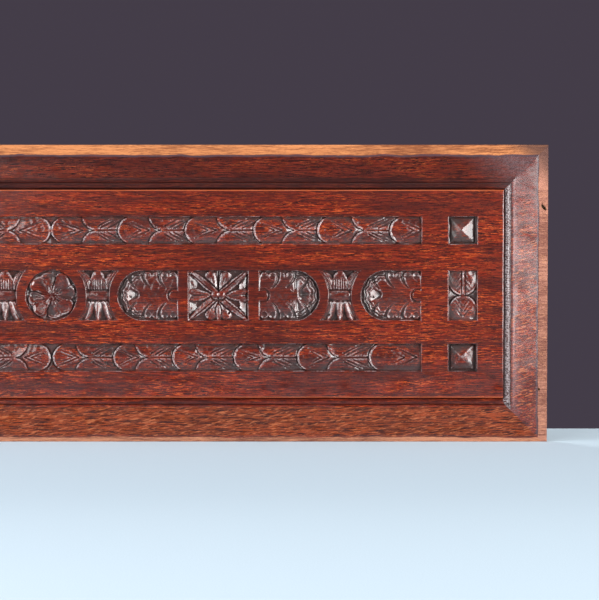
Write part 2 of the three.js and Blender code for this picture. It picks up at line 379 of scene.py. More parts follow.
# %% [markdown]
# ## Acanthus leaves
# This leaf lies in a compartment with one round end. It grows from a lug of the field
# that was left standing in the flat side. Gouged pipes lean towards the lug and part its
# lobes, each lobe ends in scallops, and the tip turns over at the round end around a
# hollow. Each of those is a function that takes the heights and cuts into them, one
# after the other. One leaf on each side of the board has its tip gathered in folds.

# %% The half-round compartment
LUG_RADIUS = 5.5
LUG_SET_IN = 2.8
FLAT_SIDE = HALF_ROUND_WIDTH / 2
ROUND_CENTRE = ROW_HEIGHT / 2 - FLAT_SIDE


def from_round_centre(x, z):
    return np.hypot(x - ROUND_CENTRE, z)


def lug_gap(x, z):
    """How far a place is from the lug in the flat side."""
    return np.hypot(x - (FLAT_SIDE - LUG_SET_IN), z) - LUG_RADIUS


def half_round_inside(x, z):
    """How far inside the compartment a place is. Its round end is at low x."""
    half = ROW_HEIGHT / 2
    square_part = np.minimum(half - np.abs(z), FLAT_SIDE - x)
    body = np.where(x < ROUND_CENTRE, half - from_round_centre(x, z), square_part)
    return np.minimum(body, lug_gap(x, z))


# %% The acanthus leaf's tip
def turned_tip(height, x, z):
    """Three steps down towards the round end, with nicked edges, round a hollow."""
    r = from_round_centre(x, z)
    tip = ease(ROUND_CENTRE - x, -3.0, 6.0)
    nicks = 0.5 + 0.5 * np.cos(13.0 * np.arctan2(z, ROUND_CENTRE - x))
    for edge, drop in ((17.3, 1.3), (20.6, 1.4), (23.4, 1.0)):
        lip = edge - 1.3 * nicks
        height = height - tip * drop * ease(r, lip, lip + 0.9)
        height = height + tip * 0.5 * vee(r - lip + 0.7, 2.0)

    # the hollow is deepest on the leaf's side and rises to the tip's ridge
    depth = 3.3 * ease(x, -8.0, -12.0) * (1.0 - 0.95 * ramp(x, -12.0, -20.0))
    narrowing = np.abs(z - 1.0) + 0.55 * (x + 20.0)
    return height - depth * ease(narrowing, 9.5, 6.0) * ease(r, 18.4, 17.2)


# %% Pipes and scallops
PIPES = (
    ((12.6, 25.0), (8.6, 15.5), (17.6, 7.4)),
    ((-4.6, 25.0), (-7.0, 15.5), (2.6, 8.2)),
    ((-19.0, 19.0), (-17.8, 12.5), (-11.8, 6.8)),
)
SCALLOP = 8.6
FIRST_SCALLOP = -4.6


def gouged_pipes(height, x, z):
    """Gouge cuts between the lobes, deep and wide at the edge and fading inwards."""
    for start, bow, end in PIPES:
        distance, share = stroke(x, np.abs(z), curve(start, bow, end))
        width = 4.4 - 2.9 * share
        height = height - (2.4 - 1.5 * share) * scoop(distance, width) ** 1.3
        bank = np.exp(-(((distance - 0.7 * width) / 0.8) ** 2))
        height = height + 0.5 * bank * (1 - share)
    return height


def scalloped(height, x, z):
    """A gouge scoop in every scallop of the long edges, and the ground beyond them."""
    side = np.abs(z)
    across = ((x - FIRST_SCALLOP) % SCALLOP - SCALLOP / 2) / 3.2
    cup = np.clip(1.0 - across**2 - ((side - 19.6) / 3.2) ** 2, 0.0, 1.0)
    height = height - 1.2 * np.sqrt(cup) * ease(x, ROUND_CENTRE - 4, ROUND_CENTRE + 2)

    arch = np.abs(np.sin(math.pi * (x - FIRST_SCALLOP) / SCALLOP)) ** 0.7
    bank = 5.4 - 2.8 * arch
    gap = ROW_HEIGHT / 2 - np.where(x < ROUND_CENTRE, from_round_centre(x, z), side)
    drop = ease(gap, bank, bank - 2.8) * ease(x, ROUND_CENTRE - 8, ROUND_CENTRE - 2)
    return height * (1 - drop) + (GROUND + 0.8) * drop


# %% The whole leaf
def acanthus(x, z):
    side = np.abs(z)
    height = -0.7 - 0.0022 * side**2 - 0.5 * ease(side, 17, 23) + 0.35 * ease(x, 20, 28)
    height = height - 1.5 * vee(lug_gap(x, z) - 1.0, 2.8)
    height = turned_tip(height, x, z)
    height = gouged_pipes(height, x, z)
    return np.maximum(scalloped(height, x, z), GROUND)


def gathered_acanthus(x, z):
    """The same leaf with its tip gathered in folds that spread from the hollow."""
    r = np.hypot(x + 6.0, z)
    turn = np.arctan2(z, -(x + 6.0))
    folds = 0.5 + 0.5 * np.sin(turn * 9.0 + 0.6)
    at_tip = ease(x, 0.0, -7.0) * ease(r, 3.0, 7.0) * (1.0 - ease(r, 17.0, 22.0))
    return np.maximum(acanthus(x, z) - 1.9 * folds * at_tip, GROUND)


measure(acanthus, FLAT_SIDE, ROW_HEIGHT / 2, "acanthus leaf")

# %% [markdown]
# ## The four-bladed square
# Four ribbed blades cross from a budded boss to the corners, over pairs of lobes that
# point up, down and to both sides. The ground has a slope at each end, and both slopes
# face the same way, so they catch the light together. The lobes come first and the
# blades are laid over them by keeping the higher of two heights.

# %% The square
def lobe_pair(x, z, way, spread, reach, lobe_width):
    """Two blunt lobes side by side, each with a vein. Beside them it is minus infinity."""
    height = np.full(np.shape(x), -np.inf)
    for hand in (1, -1):
        a, b = turned(x, z, way + hand * spread)
        share = np.clip((a - 2.0) / (reach - 2.0), 0.0, 1.0)
        width = lobe_width * share**0.7 * np.sqrt(1.0 - share**8) + 0.01
        across = np.abs(b) / width
        lobe = -0.9 - 1.7 * across**2 - 0.5 * share - 0.8 * vee(b, 1.5) * ease(share, 0.9, 0.5)
        on = (a > 2.0) & (a < reach) & (across < 1)
        height = np.where(on, np.maximum(height, lobe), height)
    return height


def sloping_ends(x, z):
    """The ground, which rises to the wall at low x and falls to the wall at high x."""
    half_x = SQUARE_WIDTH / 2
    inner = half_x - 8.5
    at_ends = np.abs(x) / half_x > np.abs(z) / (ROW_HEIGHT / 2)
    tilt = np.where(x > 0, 1.0 - ramp(x, inner, half_x), ramp(-x, inner, half_x))
    return GROUND + 0.6 + 2.8 * tilt * at_ends * (np.abs(x) > inner)


def with_corner_blade(height, x, z, way):
    """A ribbed blade to one corner, with a trench on both sides of it."""
    a, b = turned(x, z, way)
    share = np.clip(a / 38.5, 0.0, 1.0)
    width = 1.6 + 2.1 * np.sin(math.pi * share**0.8) ** 0.8
    across = np.abs(b + 0.4) / width
    ridge = -0.4 - 1.3 * across**1.4 - 0.5 * share - 1.3 * vee(b - 0.9, 1.5)
    height = np.where((a > 2.0) & (across < 1.0), np.maximum(ridge, height), height)
    trench = (a > 4.0) & (across >= 1.0) & (across < 1.35)
    return np.where(trench, np.minimum(height, -3.4), height)


def saltire(x, z):
    height = sloping_ends(x, z)
    for way in (0, 180):
        height = np.maximum(height, lobe_pair(x, z, way, 8.5, 30.0, 4.4))
    for way in (90, 270):
        height = np.maximum(height, lobe_pair(x, z, way, 22.0, 26.0, 7.2))
    a, b = turned(x, z, 270)
    bud = blade(a, b, [(10.0, 0.0), (24.6, 0.0)], 3.6, -1.2, -3.0, blunt=0.6)
    height = np.where(np.isfinite(bud), bud - 0.9 * vee(b, 1.4), height)
    height = height - 1.4 * vee(x, 1.9) * (z > 6)

    slope = math.degrees(math.atan2(ROW_HEIGHT, SQUARE_WIDTH))
    for way in (slope, 180 - slope, 180 + slope, -slope):
        height = with_corner_blade(height, x, z, way)
    buds = [dome(x - side * 3.2, z - 0.5, 3.9, 4.4, 0.0, -2.2) for side in (1, -1)]
    under = dome(x, z + 2.6, 7.5, 4.2, -4.0, -1.0)
    height = np.where(np.isfinite(under), np.minimum(height, under), height)
    return np.maximum(height, np.maximum(*buds))


measure(saltire, SQUARE_WIDTH / 2, ROW_HEIGHT / 2, "square")

# %% The pyramids
def pyramid(x, z):
    """A four-sided point in a sunk square, its apex a little off the middle."""
    apex_x, apex_z = -1.6, 0.4
    half = 12.2
    left = (x + half) / (apex_x + half)
    right = (half - 1.2 - x) / (half - 1.2 - apex_x)
    below = (z + half) / (apex_z + half)
    above = (half - z) / (half - apex_z)
    share = np.minimum(np.minimum(left, right), np.minimum(below, above))
    return np.where(share > 0, -4.6 + 4.2 * share, GROUND - 0.6)


measure(pyramid, COLUMN_WIDTH / 2, BAND_HEIGHT / 2, "pyramid")


# %% [markdown]
# ## Sinking the compartments
# Each form is placed on the field and blended in by how far inside its outline a place
# is. The blend is a millimetre wide, so a wall is steep but never quite vertical, as a
# knife leaves it. Only the part of the map near a form is worked out, to save time.
# The layout is a middle row, a band above it and one below, and a column at each end.
# It is the same on both sides of the rosette, turned end for end.

# %% Outlines and placing
def rectangle_inside(u, v, width, height):
    return np.minimum(width / 2 - np.abs(u), height / 2 - np.abs(v))


def spool_inside(u, v):
    return np.minimum(spool_half_width(v) - np.abs(u), ROW_HEIGHT / 2 - np.abs(v))


def square_inside(u, v):
    return rectangle_inside(u, v, SQUARE_WIDTH, ROW_HEIGHT)


def sink(relief, columns, rows, centre, reach, inside_of, form, facing=1):
    """Cuts a form into the relief map, in the window of that reach round its centre."""
    c0, c1 = np.searchsorted(columns, (centre[0] - reach[0], centre[0] + reach[0]))
    r0, r1 = np.searchsorted(rows, (centre[1] - reach[1], centre[1] + reach[1]))
    x, z = np.meshgrid(columns[c0:c1], rows[r0:r1])
    u = (x + 0.2 * wobble(x, z, 15, 1) - centre[0]) * facing
    v = z + 0.2 * wobble(x, z, 15, 2) - centre[1]
    inside = inside_of(u, v)
    cut = ease(inside, -0.15, 0.9)
    height = form(u, v) + 0.12 * wobble(x, z, 5, 3) + 0.07 * wobble(x, z, 2.2, 4)
    height = height - 0.45 * np.exp(-np.maximum(inside, 0) / 0.7)
    height = np.minimum(height, -0.1)
    window = relief[r0:r1, c0:c1]
    window -= 0.3 * ramp(inside, -0.75, 0.05) * (window > -0.35)
    window += (height - window) * cut


# %% The middle row
MIDDLE_ROW = (
    (tulip, spool_inside, 46.7, 1),
    (acanthus, half_round_inside, 96.9, 1),
    (saltire, square_inside, SQUARE_X, 1),
    (gathered_acanthus, half_round_inside, 239.4, -1),
    (tulip, spool_inside, 290.2, 1),
    (acanthus, half_round_inside, 341.5, 1),
)
print(len(MIDDLE_ROW), "forms on each side of the rosette")


def carve_middle_row(relief, columns, rows):
    def round_inside(u, v):
        return ROSETTE_RADIUS - np.hypot(u, v)

    sink(relief, columns, rows, (0, ROW_Z), (28, 28), round_inside, rosette)
    for form, inside_of, x, facing in MIDDLE_ROW:
        for side in (1, -1):
            centre = (side * x, ROW_Z)
            sink(relief, columns, rows, centre, (33, 28), inside_of, form, side * facing)


# %% Bands and end columns
def carve_bands(relief, columns, rows):
    def band_inside(u, v):
        return rectangle_inside(u, v, 2 * BAND_REACH, BAND_HEIGHT)

    def upper(u, v):
        return laurel_band(u, v, UPPER_LEAVES, UPPER_JOIN, UPPER_LAST)

    def lower(u, v):
        return laurel_band(u, v, LOWER_LEAVES, LOWER_JOIN, LOWER_LAST)

    reach = (BAND_REACH + 3, BAND_HEIGHT / 2 + 2)
    sink(relief, columns, rows, (0, BAND_OFFSET), reach, band_inside, upper)
    sink(relief, columns, rows, (0, -BAND_OFFSET), reach, band_inside, lower)


def carve_columns(relief, columns, rows):
    def tall(u, v):
        return rectangle_inside(u, v, COLUMN_WIDTH, ROW_HEIGHT)

    def short(u, v):
        return rectangle_inside(u, v, COLUMN_WIDTH, BAND_HEIGHT)

    for side in (1, -1):
        x = side * COLUMN_X
        sink(relief, columns, rows, (x, ROW_Z), (17, 28), tall, upright_laurel, side)
        for z in (BAND_OFFSET, -BAND_OFFSET):
            sink(relief, columns, rows, (x, z), (17, 17), short, pyramid, side)


# %% Marking lines
def scribe_lines(relief, columns, rows):
    """The marking gauge's fine lines, still showing between the end compartments."""
    x, z = np.meshgrid(columns, rows)
    half = COLUMN_WIDTH / 2
    upright = np.minimum(vee(np.abs(np.abs(x) - COLUMN_X) - half, 1.0), np.abs(z) < 80)
    level = vee(np.abs(np.abs(z) - BAND_OFFSET) - BAND_HEIGHT / 2, 1.0)
    level = np.minimum(level, np.abs(np.abs(x) - COLUMN_X + half / 2 + 6) < 24)
    relief -= 0.22 * np.maximum(upright, level) * (relief > -0.3)


# %% [markdown]
# ## The border and its moulding
# From the edge inwards there is the thin tongue, a wide bevel, a fillet, a bead, and
# then the field's sharp arris. All four sides have the same profile, and the corners are
# mitred. A height that depends on the distance to the nearest edge mitres by itself.
# The tongue is narrower below, so that side's distances are stretched to match.

# %% The profile, as (distance from the edge, height above the back)
TONGUE = {"ends": 10.0, "top": 10.5, "bottom": 5.0}
BEVEL_HEAD = 33.6
STEP = 0.6
TONGUE_EDGE = 7.9
BEAD = {"centre": 41.4, "radius": 3.2, "foot": 13.8}
FIELD_EDGE = 45.4


def bead_points():
    """The half-round bead, as points of the profile."""
    steps = 8
    points = []
    for i in range(steps + 1):
        angle = math.pi * i / steps
        across = BEAD["centre"] - BEAD["radius"] * math.cos(angle)
        points.append((across, BEAD["foot"] + BEAD["radius"] * math.sin(angle)))
    return points


PROFILE = [
    (0.0, TONGUE_EDGE),
    (0.5, TONGUE_EDGE + 0.5),
    (10.0, 9.0),
    (10.0 + STEP, 9.6),
    (BEVEL_HEAD - 0.3, 13.15),
    (BEVEL_HEAD, 13.3),
    (35.2, 14.3),
    (35.7, 14.45),
    (37.4, 14.4),
    (37.9, 13.6),
    *bead_points(),
    (FIELD_EDGE - 0.5, 14.2),
    (FIELD_EDGE, THICKNESS - 0.5),
    (FIELD_EDGE + 0.45, THICKNESS - 0.1),
    (FIELD_EDGE + 1.1, THICKNESS),
]
PROFILE_STOPS = (0, 10, 10 + STEP, BEVEL_HEAD, LENGTH)
print(len(PROFILE), "points on the border's profile")


def own_stops(tongue):
    """Where the profile's stops lie on an edge with this tongue."""
    return (0, tongue, tongue + STEP, BEVEL_HEAD, LENGTH)


def stretched(distance, tongue):
    """Distances from an edge with this tongue, stretched to the profile's own."""
    return np.interp(distance, own_stops(tongue), PROFILE_STOPS)


def border_height(x, z):
    ends = stretched(LENGTH / 2 - np.abs(x), TONGUE["ends"])
    top = stretched(WIDTH / 2 - z, TONGUE["top"])
    bottom = stretched(WIDTH / 2 + z, TONGUE["bottom"])
    inset = np.minimum(np.minimum(ends, top), bottom)
    inset = inset + 0.13 * wobble(x, z, 60, 5) * ease(inset, 1, 12)
    distances, heights = zip(*PROFILE)
    return np.interp(inset, distances, heights)


# %% [markdown]
# ## The grid of places
# Columns and rows are close together where there is carving and far apart where the
# board is plain. Across the moulding they follow the profile, so its lines stay sharp.

# %% Columns and rows
FINE = 0.55  # the spacing where there is carving


def graded(stops):
    """Places from stop to stop. Each stop is (place, spacing of the stretch after it)."""
    places = [stops[0][0]]
    for (start, spacing), (end, _) in zip(stops, stops[1:]):
        count = max(1, round((end - start) / spacing))
        places.extend(start + (end - start) * (i + 1) / count for i in range(count))
    return places


def border_lines(tongue):
    """The profile's lines with some between them, as true distances from the edge."""
    lines = [distance for distance, _ in PROFILE] + [3.0, 5.0, 7.0, 8.5, 14, 18, 22, 26, 30]
    return np.interp(sorted(lines), PROFILE_STOPS, own_stops(tongue))


def grid_columns():
    column = COLUMN_WIDTH / 2 + 2.0
    inner_end = LENGTH / 2 - FIELD_EDGE - 2.5
    right = graded(
        [
            (0, FINE),
            (BAND_REACH + 2, 6.0),
            (COLUMN_X - column, FINE),
            (COLUMN_X + column, 6.0),
            (inner_end, 1),
        ]
    )
    right = np.append(right, LENGTH / 2 - border_lines(TONGUE["ends"]))
    return np.unique(np.concatenate((-right, right)).round(4))


def grid_rows():
    band = BAND_HEIGHT / 2 + 1.5
    row = ROW_HEIGHT / 2 + 1.5
    inner_end = WIDTH / 2 - FIELD_EDGE - 2.5
    middle = graded(
        [
            (-inner_end, 7.0),
            (-BAND_OFFSET - band, FINE),
            (-BAND_OFFSET + band, 6.0),
            (ROW_Z - row, FINE),
            (ROW_Z + row, 6.0),
            (BAND_OFFSET - band, FINE),
            (BAND_OFFSET + band, 7.0),
            (inner_end, 1),
        ]
    )
    top = WIDTH / 2 - border_lines(TONGUE["top"])
    bottom = border_lines(TONGUE["bottom"]) - WIDTH / 2
    return np.unique(np.concatenate((middle, top, bottom)).round(4))


columns, rows = grid_columns(), grid_rows()
print("grid of", len(columns), "columns by", len(rows), "rows")

# %% [markdown]
# ## Nail holes
# A few small holes and a slanted nail hole were left by whatever the panel was once
# fixed with. They are cut into the same height map, as (x, z, radius along, radius
# across, tilt, depth). The grid gets a few extra lines at the holes in the border.

# %% Holes
HOLES = (
    (79.7, -2.9, 0.8, 0.8, 0, 2.5),
    (323.8, -3.3, 0.7, 0.7, 0, 2.5),
    (178.6, -19.3, 0.9, 0.9, 0, 3.0),
    (279.6, -21.0, 0.8, 0.8, 0, 2.2),
    (495.6, 87.0, 3.1, 1.3, -52, 5.0),
    (491.6, -96.7, 1.0, 0.9, 0, 3.5),
)


def extra_lines(places, hole_places):
    """The grid's places with more of them close together at every hole."""
    steps = np.arange(-3.2, 3.2, 0.5)
    extra = [place + step for place in hole_places for step in steps]
    return np.unique(np.concatenate((places, extra)).round(4))


def drill(relief, columns, rows):
    x, z = np.meshgrid(columns, rows)
    for hole_x, hole_z, long, short, tilt, depth in HOLES:
        a, b = turned(x - hole_x, z - hole_z, tilt)
        relief -= depth * ease(np.hypot(a / long, b / short), 1.25, 0.75)


border_holes = [hole for hole in HOLES if hole[0] > COLUMN_X]
columns = extra_lines(columns, [hole[0] for hole in border_holes])
rows = extra_lines(rows, [hole[1] for hole in border_holes])
columns = columns[np.abs(columns) <= LENGTH / 2]
print(len(border_holes), "holes in the border")

# %% The height map
relief = np.zeros((len(rows), len(columns)))
carve_bands(relief, columns, rows)
carve_columns(relief, columns, rows)
carve_middle_row(relief, columns, rows)
scribe_lines(relief, columns, rows)
drill(relief, columns, rows)
grid_x, grid_z = np.meshgrid(columns, rows)
height_map = border_height(grid_x, grid_z) + relief
print(f"relief from {relief.min():.2f} to {relief.max():.2f} mm")

# %% [markdown]
# ## From map to mesh
# The map becomes a sheet of quads. That is far more than a flat field needs, so the
# Decimate modifier merges edges where the surface is flat and keeps them where it bends.
# The sheet's border is then pulled back to the plane of the back and closed, which makes
# one solid board, as it is in life.

# %% The front sheet
FRONT_TRIANGLES = 188_000


def sheet_from_map(columns, rows, heights):
    """A mesh with a vertex for every place of the map and a quad between every four."""
    x, z = np.meshgrid(columns, rows)
    points = np.stack((x, -heights, z), axis=-1).reshape(-1, 3) * MM
    wide = len(columns)
    corner = np.arange(len(rows) - 1)[:, None] * wide + np.arange(wide - 1)
    corners = (corner, corner + 1, corner + 1 + wide, corner + wide)
    quads = np.stack(corners, axis=-1).reshape(-1, 4)
    mesh = bpy.data.meshes.new("front_sheet")
    mesh.vertices.add(len(points))
    mesh.vertices.foreach_set("co", points.ravel())
    mesh.loops.add(quads.size)
    mesh.loops.foreach_set("vertex_index", quads.ravel())
    mesh.polygons.add(len(quads))
    mesh.polygons.foreach_set("loop_start", np.arange(len(quads)) * 4)
    mesh.update(calc_edges=True)
    return mesh


def with_modifier(mesh, name, kind, **settings):
    """The mesh as one modifier leaves it."""
    carrier = bpy.data.objects.new(name, mesh)
    bpy.context.scene.collection.objects.link(carrier)
    modifier = carrier.modifiers.new(name, kind)
    for setting, value in settings.items():
        setattr(modifier, setting, value)
    seen = carrier.evaluated_get(bpy.context.evaluated_depsgraph_get())
    result = bpy.data.meshes.new_from_object(seen)
    bpy.data.objects.remove(carrier)
    bpy.data.meshes.remove(mesh)
    return result


sheet = sheet_from_map(columns, rows, height_map)
ratio = FRONT_TRIANGLES / (2 * len(sheet.polygons))
front = with_modifier(sheet, "thin_out", "DECIMATE", ratio=ratio)
print("front has", len(front.polygons), "faces, kept", round(ratio, 3))

# %% Closing the board
def pull_in(vertex, chamfer):
    """Keeps a vertex of the back this many millimetres inside the board's outline."""
    far_x = LENGTH / 2 - chamfer
    far_z = WIDTH / 2 - chamfer
    vertex.co.x = max(-far_x, min(far_x, vertex.co.x / MM)) * MM
    vertex.co.z = max(-far_z, min(far_z, vertex.co.z / MM)) * MM


def close_board(mesh):
    """Pulls the front's border back to make the edges, and fills the flat back."""
    board = bmesh.new()
    board.from_mesh(mesh)
    rim = [edge for edge in board.edges if edge.is_boundary]
    for depth, chamfer in ((-0.5, 0.0), (0.0, 0.5)):
        grown = bmesh.ops.extrude_edge_only(board, edges=rim)["geom"]
        for vertex in (item for item in grown if isinstance(item, bmesh.types.BMVert)):
            vertex.co.y = depth * MM
            pull_in(vertex, chamfer)
        edges = [item for item in grown if isinstance(item, bmesh.types.BMEdge)]
        rim = [edge for edge in edges if edge.is_boundary]
    bmesh.ops.contextual_create(board, geom=rim)
    bmesh.ops.triangulate(board, faces=board.faces)
    bmesh.ops.recalc_face_normals(board, faces=board.faces)
    open_edges = sum(edge.is_boundary for edge in board.edges)
    board.to_mesh(mesh)
    board.free()
    print("board closed, open edges left:", open_edges)
    return mesh


board_mesh = close_board(front)

# %% [markdown]
# ## Shading that keeps flat faces flat
# A smooth-shaded mesh spreads the turn of a sharp edge over the big flat face beside it.
# Marking steep edges as sharp, and letting big faces decide the normals with the
# Weighted Normal modifier, keeps the field flat and the arrises crisp.

# %% Normals and the piece
board_mesh.shade_smooth()
board_mesh.set_sharp_from_angle(angle=math.radians(48))
board_mesh = with_modifier(board_mesh, "weigh_normals", "WEIGHTED_NORMAL", keep_sharp=True)
board_mesh.name = "oak_panel"
panel = bpy.data.objects.new("oak_panel", board_mesh)
bpy.context.scene.collection.objects.link(panel)
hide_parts(NODE)
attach(panel, "root")
print("panel has", len(board_mesh.polygons), "triangles")

# %% [markdown]
# ## How hollow each place is
# Stain and old varnish gather in the cuts, and painted shade darkens them further, while
# a painted highlight lies pale along the raised edges. Both need a number for every vertex:
# how far it lies below the average of what is around it. The relief is laid out on an even
# grid, blurred, and compared with itself. A second number is simply the depth of the
# carving. A third is how strong the grey veil of dust and painted sheen is there: most in
# the end columns, less in the middle row, and least in the bands and the squares. All are
# attributes on the mesh, which a material can read.

# %% An even grid of the relief
EVEN = 0.5  # the grid's spacing


def even_relief(relief, columns, rows):
    """The relief on an evenly spaced grid that starts at the lower left corner."""
    across = np.arange(-LENGTH / 2, LENGTH / 2 + EVEN, EVEN)
    up = np.arange(-WIDTH / 2, WIDTH / 2 + EVEN, EVEN)
    wide = np.array([np.interp(across, columns, line) for line in relief])
    return np.array([np.interp(up, rows, line) for line in wide.T]).T


def blurred(grid, radius):
    """A grid after two box blurs of this many cells each way."""
    for _ in range(2):
        for axis in (0, 1):
            shifts = [np.roll(grid, step, axis=axis) for step in range(-radius, radius + 1)]
            grid = sum(shifts) / len(shifts)
    return grid


def sample(grid, x, z):
    """Values of an even grid at any places, read between its four nearest cells."""
    across = np.clip((x + LENGTH / 2) / EVEN, 0, grid.shape[1] - 1.001)
    up = np.clip((z + WIDTH / 2) / EVEN, 0, grid.shape[0] - 1.001)
    i, j = across.astype(int), up.astype(int)
    s, t = across - i, up - j
    lower_line = grid[j, i] * (1 - s) + grid[j, i + 1] * s
    upper_line = grid[j + 1, i] * (1 - s) + grid[j + 1, i + 1] * s
    return lower_line * (1 - t) + upper_line * t


# %% The hollow, depth and grey attributes
# How strong the grey veil of dust and painted sheen is in each part of the board.
def grey_share(x, z):
    middle_row = np.abs(z - ROW_Z) < ROW_HEIGHT / 2 + 2
    squares = middle_row & (np.abs(np.abs(x) - SQUARE_X) < SQUARE_WIDTH / 2)
    share = np.where(middle_row, 0.5, 0.24)
    share = np.where(squares, 0.18, share)
    return np.where(np.abs(x) > BAND_REACH + 10, 1.0, share)


def mark_hollows(mesh):
    points = np.empty(len(mesh.vertices) * 3)
    mesh.vertices.foreach_get("co", points)
    x, y, z = points.reshape(-1, 3).T / MM
    even = even_relief(relief, columns, rows)
    own = sample(even, x, z)
    front_face = y < 0.4 - TONGUE_EDGE
    around_it = sample(blurred(even, 2), x, z)
    depth = -own * front_face
    attributes = {
        "hollow": (around_it - own) * ease(own, -0.4, -0.9) * front_face,
        "depth": depth,
        "grey": grey_share(x, z) * ease(depth, 0.3, 0.9),
    }
    for name, values in attributes.items():
        mesh.attributes.new(name, "FLOAT", "POINT").data.foreach_set("value", values)
        print(f"{name} from {values.min():.2f} to {values.max():.2f}")


mark_hollows(board_mesh)

# %% [markdown]
# ## Building materials from nodes
# A few helpers keep the node code readable. `Tree` adds nodes with their settings and
# inputs given by name, and has short words for the sums that masks need. `new_group` and
# `put_out` make a node group with named sockets. An input may be a number, a colour or
# the output of another node.

# %% A node tree with short words
class Tree:
    """A node tree with a short way to add a node and join its inputs."""

    def __init__(self, node_tree):
        self.nodes = node_tree.nodes
        self.links = node_tree.links

    def add(self, kind, settings=None, **inputs):
        node = self.nodes.new("ShaderNode" + kind)
        for name, value in (settings or {}).items():
            setattr(node, name, value)
        for name, value in inputs.items():
            self.join(node, name, value)
        return node

    def join(self, node, name, value):
        if isinstance(value, bpy.types.NodeSocket):
            self.links.new(value, node.inputs[name])
        else:
            node.inputs[name].default_value = value

    def maths(self, operation, a, b=0.0, clamp=False):
        node = self.add("Math", {"operation": operation, "use_clamp": clamp})
        self.join(node, 0, a)
        self.join(node, 1, b)
        return node.outputs[0]

    def plus(self, a, b):
        return self.maths("ADD", a, b)

    def less(self, a, b, clamp=False):
        return self.maths("SUBTRACT", a, b, clamp)

    def times(self, a, b, clamp=False):
        return self.maths("MULTIPLY", a, b, clamp)

    def weighted(self, *pairs):
        """The sum of some values, each times its own weight."""
        total, *others = [self.times(value, weight) for value, weight in pairs]
        for product in others:
            total = self.plus(total, product)
        return total

    def masked(self, value, start, end):
        """0 below start, 1 above end, and a soft step between. Either may be larger."""
        limits = {"From Min": min(start, end), "From Max": max(start, end)}
        limits["To Min"] = float(start > end)
        limits["To Max"] = float(start < end)
        node = self.add("MapRange", {"interpolation_type": "SMOOTHSTEP"}, Value=value)
        for name, number in limits.items():
            node.inputs[name].default_value = number
        return node.outputs["Result"]

    def noise(self, position, squeeze, detail=2.0, roughness=0.5):
        """Noise with about this many lumps to the metre along each axis."""
        squeezed = self.add("VectorMath", {"operation": "MULTIPLY"})
        self.join(squeezed, 0, position)
        self.join(squeezed, 1, squeeze)
        inputs = {"Vector": squeezed.outputs["Vector"], "Scale": 1.0}
        node = self.add("TexNoise", None, Detail=detail, Roughness=roughness, **inputs)
        return node.outputs["Fac"]

    def blend(self, factor, first, second, how="MIX"):
        node = self.add("Mix", {"data_type": "RGBA", "blend_type": how})
        for index, value in ((0, factor), (6, first), (7, second)):
            self.join(node, index, (*value, 1.0) if isinstance(value, tuple) else value)
        return node.outputs[2]

    def tinted(self, base, colour, mask, strength):
        """The base with a colour laid over it where the mask is."""
        return self.blend(self.times(mask, strength), base, colour)


# %% Node groups
def new_group(name, inputs):
    """A node group, its tree, and its inputs, which are given as (name, kind)."""
    group = bpy.data.node_groups.new(name, "ShaderNodeTree")
    for socket, kind in inputs:
        group.interface.new_socket(socket, in_out="INPUT", socket_type="NodeSocket" + kind)
    return group, Tree(group), group.nodes.new("NodeGroupInput").outputs


def put_out(group, tree, results):
    """Gives the group an output for each named result."""
    for name in results:
        group.interface.new_socket(name, in_out="OUTPUT", socket_type="NodeSocketFloat")
    end = group.nodes.new("NodeGroupOutput")
    for name, value in results.items():
        tree.join(end, name, value)
    print(group.name, "puts out", ", ".join(results))


# %% [markdown]
# ## Oak
# Oak has coarse pores in short lines along the grain, darker bands where the year's
# growth ended, and pale rays that show as little flecks. All three run along the board,
# but where a bevel cuts down through the rays they come out as short slanting dashes.
# A noise texture that is squeezed along one axis gives lines along that axis, so one
# noise at different squeezes makes the whole figure. Both finishes share it.

# %% Oak figure
RAY_SLANT = math.radians(13.0)
GRAIN_BEND = 0.012


def bent_along_grain(tree, position):
    """The position, shifted a little up and down so that the grain isn't dead straight."""
    bend = tree.noise(position, (3.0, 9.0, 9.0), detail=1.0)
    shift = tree.add("CombineXYZ", None, Z=tree.times(bend, GRAIN_BEND))
    bent = tree.add("VectorMath", {"operation": "ADD"})
    tree.join(bent, 0, position)
    tree.join(bent, 1, shift.outputs["Vector"])
    return bent.outputs["Vector"]


def make_oak_figure():
    group, tree, given = new_group("Oak figure", [("Position", "Vector")])
    position = given["Position"]
    grain = bent_along_grain(tree, position)
    slanting = tree.add("VectorRotate", {"rotation_type": "Y_AXIS"}, Vector=position, Angle=RAY_SLANT)
    slanting = slanting.outputs["Vector"]
    flecks = tree.noise(grain, (130.0, 1300.0, 1300.0), detail=3.0, roughness=0.7)
    dashes = tree.noise(slanting, (110.0, 300.0, 700.0), detail=2.0, roughness=0.6)
    pores = tree.noise(grain, (300.0, 2400.0, 2400.0), detail=1.0)
    results = {
        "Fibres": tree.noise(grain, (62.0, 1100.0, 1100.0), detail=4.0, roughness=0.75),
        "Bands": tree.noise(grain, (7.0, 130.0, 130.0), detail=5.0, roughness=0.65),
        "Clouds": tree.noise(position, (5.0, 22.0, 22.0), detail=3.0, roughness=0.6),
        "Flecks": tree.masked(flecks, 0.55, 0.65),
        "Dashes": tree.masked(dashes, 0.54, 0.66),
        "Pores": tree.masked(pores, 0.60, 0.70),
    }
    put_out(group, tree, results)
    return group


oak_figure = make_oak_figure()
